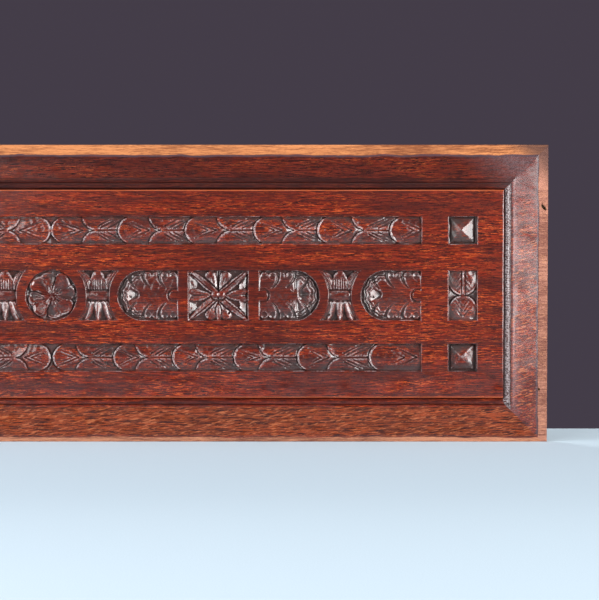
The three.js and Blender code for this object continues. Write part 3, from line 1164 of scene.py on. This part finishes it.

# %% [markdown]
# ## Dirt, dust, and painted shade, sheen and highlights
# Dirt and dark varnish fill what lies low, with painted shade darkening it further, a
# painted highlight lies pale along the cut edges, and a grey veil of dust and painted sheen
# lies over the carving. The attributes say where, and a patchy noise keeps every border
# between them uneven. `Chatter` is the fine ridging that the tools left on every carved
# surface.

# %% Dirt, dust, and painted shade, sheen and highlights
def make_painted_light_and_dirt():
    inputs = [("Position", "Vector"), ("Hollow", "Float"), ("Depth", "Float"), ("Grey", "Float")]
    group, tree, given = new_group("Painted light and dirt", inputs)
    hollow, depth, grey = given["Hollow"], given["Depth"], given["Grey"]
    patches = tree.noise(given["Position"], (55.0, 90.0, 90.0), detail=5.0, roughness=0.65)
    chatter = tree.noise(given["Position"], (700.0, 900.0, 900.0), detail=2.0, roughness=0.6)
    uneven = tree.times(tree.less(patches, 0.5), 1.6)
    carved = tree.masked(depth, 0.05, 0.5)

    # Dirt and painted shade: darker where the relief lies below its surroundings and where it is
    # deep.
    low_places = tree.plus(hollow, tree.times(tree.masked(depth, 0.8, 4.0), 0.9))
    low_places = tree.plus(low_places, uneven)
    # Painted highlights along the proud cut edges, broken up by the tool chatter.
    proud_places = tree.plus(hollow, tree.times(uneven, 0.45))
    broken = tree.times(carved, tree.masked(chatter, 0.36, 0.56))
    # A grey veil of dust and painted sheen, strongest in deep cuts and where the grey share is high.
    veil_strength = tree.weighted((tree.masked(depth, 2.0, 4.2), 1.5), (grey, 0.8))
    veil = tree.times(grey, veil_strength, clamp=True)
    results = {
        "Dirt and shade": tree.times(tree.masked(low_places, 0.0, 1.0), carved),
        "Painted edge highlights": tree.times(tree.masked(proud_places, -0.08, -0.5), broken),
        "Dust and sheen": tree.times(veil, tree.masked(patches, 0.40, 0.60)),
        "Patches": patches,
        "Chatter": tree.times(chatter, carved),
    }
    put_out(group, tree, results)
    return group


painted_light_and_dirt = make_painted_light_and_dirt()


# %% Using the groups
def new_material(name):
    """A material with both groups in it, and what they put out."""
    material = bpy.data.materials.new(name)
    material.use_nodes = True
    tree = Tree(material.node_tree)
    shader = material.node_tree.nodes["Principled BSDF"]
    position = tree.add("TexCoord").outputs["Object"]
    figure = tree.add("Group", {"node_tree": oak_figure}, Position=position).outputs
    marks = tree.add("Group", {"node_tree": painted_light_and_dirt}, Position=position)
    for name in ("Hollow", "Depth", "Grey"):
        number = tree.add("Attribute", {"attribute_name": name.lower()}).outputs["Fac"]
        tree.join(marks, name, number)
    return material, tree, shader, position, figure, marks.outputs


def add_bump(tree, shader, height):
    bump = tree.add("Bump", None, Height=height, Strength=0.7, Distance=0.5 * MM)
    tree.join(shader, "Normal", bump.outputs["Normal"])


# %% [markdown]
# ## Where the stain stops
# The front was stained red-brown and varnished. The stain stopped short of the tongue,
# which sat in the frame's groove, so a pale margin runs round the edge with a dark line
# of varnish where the brush met the frame. A mask made from the distance to the board's
# edges needs no painting and fits the board at any size. The margin is narrow along the
# lower edge, so the distances are shifted to reach it at the same number on every side.

# %% Distances from the edges
TOP_SHIFT = -0.6
BOTTOM_SHIFT = 5.0


def edge_distances(tree, position):
    """How far the nearer end, the top and the bottom edge are, after the shifts."""
    axes = tree.add("SeparateXYZ", None, Vector=position).outputs
    from_end = tree.less(LENGTH / 2 * MM, tree.maths("ABSOLUTE", axes["X"]))
    from_top = tree.less((WIDTH / 2 + TOP_SHIFT) * MM, axes["Z"])
    from_bottom = tree.plus(axes["Z"], (WIDTH / 2 + BOTTOM_SHIFT) * MM)
    return from_end, from_top, from_bottom


def step_between(tree, distance, start, end):
    """0 at the start and 1 at the end, which are both in millimetres."""
    return tree.masked(distance, start * MM, end * MM)


def within(tree, distance, start, end):
    """1 between two distances in millimetres, and 0 outside them, with soft sides."""
    soft = 0.3
    rising = step_between(tree, distance, start - soft, start + soft)
    return tree.times(rising, step_between(tree, distance, end + soft, end - soft))


# %% The bare margin
def margin_masks(tree, position, nearest):
    """The bare margin, and the dark line of varnish between it and the stain."""
    ripple = tree.noise(position, (45.0, 45.0, 45.0), detail=3.0)
    distance = tree.plus(nearest, tree.times(tree.less(ripple, 0.5), 4.0 * MM))
    bare = step_between(tree, distance, 10.0, 8.9)
    line_start = step_between(tree, distance, 9.2, 9.9)
    line = tree.times(line_start, step_between(tree, distance, 12.4, 10.6))
    return bare, line


# %% [markdown]
# ## Where the border runs across the grain
# The end borders cut across the fibres. Cut ends drink more varnish and never polish
# smooth, so the moulding there is dark, with painted glints on it, and the bevel gets a
# painted grey sheen, which also reaches round the corners. The long borders were planed
# along the grain and are smoother. The lower bevel gets painted light, a lighter and warmer
# brown, and the top border painted shade. Each place gets a mask, and a dictionary keeps
# them by name.

# %% Places on the border
def end_border_mask(tree, from_end, from_top, from_bottom):
    """1 on the two end borders as far as the mitres, and 0 elsewhere."""
    long_edge = tree.maths("MINIMUM", from_top, from_bottom)
    mitre = step_between(tree, tree.less(long_edge, from_end), -0.4, 0.4)
    return tree.times(mitre, step_between(tree, from_end, 45.8, 45.2))


def moulding_places(tree, from_end, from_top, from_bottom):
    """The bevels, the beads and the field's arris."""
    ends = end_border_mask(tree, from_end, from_top, from_bottom)
    sides = tree.less(1.0, ends)
    lower_bead = within(tree, from_bottom, 42.6, 49.6)
    beads = tree.plus(within(tree, from_top, 32.6, 44.2), tree.times(lower_bead, 0.45))
    beads = tree.times(beads, step_between(tree, from_end, 37.0, 39.0))
    arris = tree.plus(within(tree, from_top, 44.7, 45.9), within(tree, from_bottom, 50.3, 51.5))
    return {
        "ends": ends,
        "sides": sides,
        "top border": tree.times(within(tree, from_top, 10.5, 44.6), sides),
        "bottom bevel": tree.times(within(tree, from_bottom, 9.5, 41.0), sides),
        "end bead": tree.times(within(tree, from_end, 37.6, 45.0), ends),
        "long beads": tree.times(beads, sides),
        "arris": tree.times(arris, step_between(tree, from_end, 45.2, 46.0)),
    }


def border_places(tree, position):
    """All the masks of the border, by name."""
    from_end, from_top, from_bottom = edge_distances(tree, position)
    nearest = tree.maths("MINIMUM", from_end, tree.maths("MINIMUM", from_top, from_bottom))
    bare, line = margin_masks(tree, position, nearest)
    to_corner = tree.plus(from_end, from_top)
    places = moulding_places(tree, from_end, from_top, from_bottom)
    places["bare"] = bare
    places["line"] = line
    places["corner"] = step_between(tree, to_corner, 50.0, 16.0)
    places["near corner"] = step_between(tree, to_corner, 110.0, 40.0)
    places["near fillet"] = step_between(tree, from_end, 24.0, 34.0)
    places["lower half"] = step_between(tree, from_top, 10.0, 130.0)
    places["foot"] = step_between(tree, from_bottom, 14.0, 11.0)
    return places


# %% [markdown]
# ## Stained and varnished oak
# A finish is built as it grew on the real board: first the fibres take the stain, then
# the bands, rays and pores show through it, and on top lie a grey veil of dust and painted
# sheen, a painted highlight along the cut edges, and dirt with painted shade.
# Each is one colour laid over the last through a mask, so any layer can be changed alone.

# %% The stain and what lies on it
DARK_FIBRES = (0.023, 0.0028, 0.0019)
RED_FIBRES = (0.142, 0.0125, 0.0037)
ORANGE_FLECKS = (0.37, 0.062, 0.012)
DARK_BANDS = (0.026, 0.0036, 0.0028)
DARK_CLOUDS = (0.030, 0.0044, 0.0034)
DARK_PORES = (0.008, 0.0030, 0.0026)
# A grey veil: dust, and a painted sheen of the varnish.
DUST_AND_SHEEN = (0.060, 0.043, 0.042)
# A painted highlight along the cut edges.
PAINTED_EDGE_HIGHLIGHT = (0.340, 0.295, 0.295)
# Dirt in the cuts, with painted shade in the same colour.
DIRT_AND_SHADE = (0.026, 0.019, 0.018)


def red_share(tree, figure):
    return tree.masked(figure["Fibres"], 0.42, 0.58)


def stain_colour(tree, figure, marks):
    clear = tree.times(tree.masked(figure["Clouds"], 0.56, 0.42), 0.55)
    flecks = tree.times(tree.plus(clear, 0.4), figure["Flecks"])
    bands = tree.masked(figure["Bands"], 0.48, 0.60)
    clouds = tree.masked(figure["Clouds"], 0.47, 0.62)
    stain = tree.blend(red_share(tree, figure), DARK_FIBRES, RED_FIBRES)
    stain = tree.blend(flecks, stain, ORANGE_FLECKS)
    stain = tree.tinted(stain, DARK_BANDS, bands, 0.62)
    stain = tree.tinted(stain, DARK_CLOUDS, clouds, 0.5)
    stain = tree.tinted(stain, DARK_PORES, figure["Pores"], 0.8)
    # On top: a grey veil of dust and painted sheen, a painted highlight along the cut edges, and dirt
    # with painted shade.
    stain = tree.tinted(stain, DUST_AND_SHEEN, marks["Dust and sheen"], 0.75)
    stain = tree.tinted(stain, PAINTED_EDGE_HIGHLIGHT, marks["Painted edge highlights"], 0.68)
    return tree.tinted(stain, DIRT_AND_SHADE, marks["Dirt and shade"], 0.72)


# %% The long borders
# The lower bevel's grain, lighter and warmer: painted light from the table.
LIT_BEVEL_DARK = (0.022, 0.0045, 0.0026)
LIT_BEVEL_LIGHT = (0.215, 0.0430, 0.0105)
RAY_DASHES = (0.370, 0.110, 0.040)
BEAD_SHADOW = (0.020, 0.007, 0.006)
# Painted shade that darkens the top border.
TOP_BORDER_SHADE = (0.66, 0.80, 0.95)


def long_borders(tree, stain, figure, places):
    """A lighter, warmer grain of painted light on the lower bevel, dashes of the rays, a painted
    shadow on the long beads, and painted shade on the top border.
    """
    # Painted light on the lower bevel.
    lit_bevel = tree.blend(red_share(tree, figure), LIT_BEVEL_DARK, LIT_BEVEL_LIGHT)
    stain = tree.tinted(stain, lit_bevel, places["bottom bevel"], 0.6)
    dashes = tree.weighted((places["bottom bevel"], 0.5), (places["ends"], 0.65))
    dashes = tree.times(dashes, figure["Dashes"])
    stain = tree.blend(tree.times(dashes, places["lower half"]), stain, RAY_DASHES)
    stain = tree.tinted(stain, BEAD_SHADOW, places["long beads"], 0.45)
    # Painted shade on the top border.
    return tree.blend(places["top border"], stain, TOP_BORDER_SHADE, how="MULTIPLY")


# %% Painted sheen, and the worn moulding with its painted glints
# A painted grey sheen on the end bevels and round the corners.
PAINTED_SHEEN = (0.270, 0.205, 0.220)
WORN_ARRIS = (0.330, 0.075, 0.024)
DARK_BEAD = (0.020, 0.013, 0.013)
# Painted glints on the end beads.
PAINTED_BEAD_GLINTS = (0.350, 0.310, 0.320)


def with_painted_sheen(tree, stain, patches, speckle, places):
    """A painted grey sheen on the end bevels and round the corners."""
    on_ends = tree.times(tree.plus(places["near fillet"], 0.6), places["ends"])
    on_sides = tree.times(places["near corner"], places["sides"])
    haze = tree.weighted((on_ends, 1.0), (on_sides, 1.0), (places["near corner"], 0.5))
    uneven = tree.weighted((patches, 1.0), (speckle, 0.6))
    return tree.tinted(stain, PAINTED_SHEEN, tree.times(haze, uneven), 0.13)


def moulding_wear_and_glints(tree, stain, speckle, places):
    """The field's rubbed arris, and the dark end beads with painted speckled glints."""
    stain = tree.tinted(stain, WORN_ARRIS, places["arris"], 0.65)
    stain = tree.tinted(stain, DARK_BEAD, places["end bead"], 0.8)
    # Painted glints, speckled over the dark end beads.
    return tree.tinted(stain, PAINTED_BEAD_GLINTS, tree.times(places["end bead"], speckle), 0.6)


# %% The margin's own colour
HONEY = ((0.13, 0.042, 0.018), (0.375, 0.146, 0.056))
ROSY = ((0.130, 0.052, 0.040), (0.290, 0.135, 0.098))
ROSY_FLECKS = (0.42, 0.20, 0.11)
MARGIN_PORES = (0.12, 0.045, 0.02)
VARNISH_LINE = (0.045, 0.030, 0.038)
CORNER_GRIME = (0.050, 0.027, 0.024)


def margin_colour(tree, figure, places):
    """Pale wood, honey brown above and rosier at the ends and along the foot."""
    rosy_ends = tree.times(places["ends"], 0.9)
    rosy_share = tree.maths("MAXIMUM", rosy_ends, tree.times(places["foot"], 0.6))
    tone = tree.masked(tree.plus(figure["Fibres"], figure["Clouds"]), 0.82, 1.12)
    rosy = tree.tinted(tree.blend(tone, *ROSY), ROSY_FLECKS, figure["Flecks"], 0.6)
    pale = tree.blend(rosy_share, tree.blend(tone, *HONEY), rosy)
    pale = tree.tinted(pale, MARGIN_PORES, figure["Pores"], 0.5)
    return tree.tinted(pale, CORNER_GRIME, places["corner"], 0.8)


def with_margin(tree, stain, figure, places):
    """The stain as far as its dark line, which is faint along the foot, then the margin."""
    line = tree.times(places["line"], tree.less(0.85, tree.times(places["foot"], 0.6)))
    stain = tree.blend(line, stain, VARNISH_LINE)
    return tree.blend(places["bare"], stain, margin_colour(tree, figure, places))


# %% [markdown]
# ## Shine and touch
# Varnish is a clear layer over the wood, which is what the shader's coat is. It covers
# the stain but not the margin, and it is dull where it sank into cut ends, under the grey
# veil of dust and painted sheen, and where a long border has weathered. The bump holds
# what the fingers feel: raised fibres, open pores, tool chatter and the rough end beads.

# %% Shine and touch
def varnish(tree, marks, places):
    """How much of the clear coat is left."""
    dull_places = (
        (places["ends"], 0.72),
        (places["long beads"], 0.8),
        (marks["Dust and sheen"], 0.35),
        (places["bottom bevel"], 0.4),
    )
    left = tree.less(1.0, tree.weighted(*dull_places), clamp=True)
    brushed = tree.masked(marks["Patches"], 0.2, 0.6)
    return tree.times(tree.times(tree.less(1.0, places["bare"]), brushed), left)


def roughness(tree, figure, places):
    wood = tree.masked(figure["Fibres"], 0.2, 0.8)
    return tree.plus(tree.weighted((wood, 0.2), (places["bare"], 0.15)), 0.40)


def stained_height(tree, figure, marks, speckle, places):
    raised = tree.weighted(
        (figure["Fibres"], 0.5),
        (marks["Chatter"], 2.8),
        (tree.times(places["ends"], speckle), 0.7),
    )
    return tree.less(raised, tree.times(figure["Pores"], 0.35))


# %% Stained oak
def make_stained_oak():
    material, tree, shader, position, figure, marks = new_material("Stained oak")
    places = border_places(tree, position)
    speckle = tree.masked(tree.noise(position, (500.0, 900.0, 1000.0)), 0.40, 0.62)
    stain = stain_colour(tree, figure, marks)
    stain = long_borders(tree, stain, figure, places)
    stain = with_painted_sheen(tree, stain, marks["Patches"], speckle, places)
    stain = moulding_wear_and_glints(tree, stain, speckle, places)
    tree.join(shader, "Base Color", with_margin(tree, stain, figure, places))
    tree.join(shader, "Roughness", roughness(tree, figure, places))
    tree.join(shader, "Coat Weight", varnish(tree, marks, places))
    shader.inputs["Coat Roughness"].default_value = 0.18
    shader.inputs["Specular IOR Level"].default_value = 0.05
    add_bump(tree, shader, stained_height(tree, figure, marks, speckle, places))
    print(material.name, "has", len(material.node_tree.nodes), "nodes")
    return material


# %% [markdown]
# ## Bare oak
# The edges and the back never had stain or varnish. They turned grey-brown with age and
# still show the fibres that the plane tore a little. The same two groups serve, with
# other colours and no coat.

# %% Bare oak
BARE_DARK = (0.17, 0.10, 0.055)
BARE_LIGHT = (0.36, 0.23, 0.13)
BARE_BANDS = (0.16, 0.095, 0.055)
BARE_FLECKS = (0.45, 0.31, 0.19)
BARE_PORES = (0.06, 0.035, 0.02)
BARE_PATCHES = (0.13, 0.085, 0.055)


def make_bare_oak():
    material, tree, shader, _, figure, marks = new_material("Bare oak")
    wood = tree.blend(tree.masked(figure["Fibres"], 0.3, 0.7), BARE_DARK, BARE_LIGHT)
    wood = tree.blend(tree.masked(figure["Bands"], 0.45, 0.7), wood, BARE_BANDS)
    wood = tree.tinted(wood, BARE_FLECKS, figure["Flecks"], 0.4)
    wood = tree.tinted(wood, BARE_PORES, figure["Pores"], 0.7)
    wood = tree.blend(tree.masked(marks["Patches"], 0.5, 0.75), wood, BARE_PATCHES)
    tree.join(shader, "Base Color", wood)
    tree.join(shader, "Roughness", tree.plus(tree.times(figure["Fibres"], 0.25), 0.6))
    add_bump(tree, shader, tree.less(figure["Fibres"], tree.times(figure["Pores"], 0.6)))
    print(material.name, "has", len(material.node_tree.nodes), "nodes")
    return material


# %% Painting the faces
def finish_faces(mesh):
    """Stained oak on everything that faces forward and bare oak on the rest."""
    mesh.materials.clear()
    mesh.materials.append(make_stained_oak())
    mesh.materials.append(make_bare_oak())
    centres = np.empty(len(mesh.polygons) * 3)
    mesh.polygons.foreach_get("center", centres)
    behind = centres[1::3] > (0.1 - TONGUE_EDGE) * MM
    mesh.polygons.foreach_set("material_index", behind.astype(np.int32))
    print(int(behind.sum()), "faces of bare oak")


finish_faces(board_mesh)

# %% [markdown]
# ## The stage
# The board stands on a pale table before a dim room. One large soft light on the right
# does most of the work: it rakes over the relief and shines on every wall that faces it.
# A weaker one stands low on the left for the walls that face the other way. The rest are
# gentle: one in front puts a sheen on the near end, one lights the table, one the back.

# %% The table
def make_cloth():
    cloth = bpy.data.materials.new("Pale cloth")
    cloth.use_nodes = True
    tree = Tree(cloth.node_tree)
    position = tree.add("TexCoord").outputs["Object"]
    weave = tree.noise(position, (900.0, 900.0, 900.0))
    shader = cloth.node_tree.nodes["Principled BSDF"]
    tree.join(shader, "Base Color", tree.blend(weave, (0.44, 0.553, 0.64), (0.548, 0.68, 0.762)))
    shader.inputs["Roughness"].default_value = 0.9
    return cloth


def make_table():
    """A table top that reaches further in front of the board than behind it."""
    in_front, behind, wide, thick = 1.0, 0.114, 2.6, 0.04
    shape = bmesh.new()
    bmesh.ops.create_cube(shape, size=1.0)
    bmesh.ops.scale(shape, verts=shape.verts, vec=(wide, in_front + behind, thick))
    middle = (0.0, (behind - in_front) / 2, low[2] - thick / 2)
    bmesh.ops.translate(shape, verts=shape.verts, vec=middle)
    mesh = bpy.data.meshes.new("table")
    shape.to_mesh(mesh)
    shape.free()
    mesh.materials.append(make_cloth())
    table = bpy.data.objects.new("table", mesh)
    bpy.context.scene.collection.objects.link(table)
    print("table is", wide, "m wide")


make_table()

# %% Lights and room
def aim(item, target):
    """Turns a light or a camera to look at a place."""
    item.rotation_euler = (Vector(target) - item.location).to_track_quat("-Z", "Y").to_euler()


def soft_light(name, place, target, size, power, colour):
    lamp = bpy.data.lights.new(name, "AREA")
    lamp.shape = "RECTANGLE"
    lamp.size, lamp.size_y = size
    lamp.energy = power
    lamp.color = colour
    light = bpy.data.objects.new(name, lamp)
    light.location = place
    bpy.context.scene.collection.objects.link(light)
    aim(light, target)
    print("light", name, "of", power, "watts")


def dim_room(colour):
    world = bpy.data.worlds.new("dim_room")
    world.use_nodes = True
    world.node_tree.nodes["Background"].inputs["Color"].default_value = (*colour, 1.0)
    bpy.context.scene.world = world


dim_room((0.058, 0.047, 0.066))
soft_light("right", (2.5, -2.0, 0.25), (0.25, 0.0, 0.0), (2.2, 1.6), 255.0, (1.0, 0.98, 0.97))
soft_light("left", (-2.2, -0.9, 0.35), (0.2, 0.0, 0.0), (1.6, 1.6), 120.0, (0.96, 0.97, 1.0))
soft_light("front", (-0.9, -2.1, 0.45), (0.0, 0.0, 0.0), (0.9, 0.9), 17.0, (1.0, 0.99, 0.98))
soft_light("above", (0.3, -0.45, 2.3), (0.2, -0.3, -0.2), (2.2, 1.0), 20.0, (1.0, 1.0, 1.0))
soft_light("behind", (-1.2, 1.9, 0.9), (0.0, 0.0, 0.0), (1.2, 1.2), 45.0, (1.0, 0.98, 0.95))

# %% [markdown]
# ## The camera
# A long lens from two metres away, a little above the board's middle, keeps the
# compartments square and still shows a trace of the lower walls.

# %% Camera
AIM = (0.2495, -THICKNESS * MM, -0.006)
DISTANCE = 2.0
RISE = math.radians(2.5)
SEEN = 0.603  # the width that the camera takes in at that distance


def place_camera():
    data = bpy.data.cameras.new("camera")
    data.sensor_width = 36.0
    data.lens = data.sensor_width * DISTANCE / SEEN
    data.dof.use_dof = False
    camera = bpy.data.objects.new("camera", data)
    away = Vector((0.0, -math.cos(RISE), math.sin(RISE)))
    camera.location = Vector(AIM) + DISTANCE * away
    bpy.context.scene.collection.objects.link(camera)
    aim(camera, AIM)
    bpy.context.scene.camera = camera
    print(f"lens of {data.lens:.0f} mm")


place_camera()
bpy.context.scene.view_settings.view_transform = "Standard"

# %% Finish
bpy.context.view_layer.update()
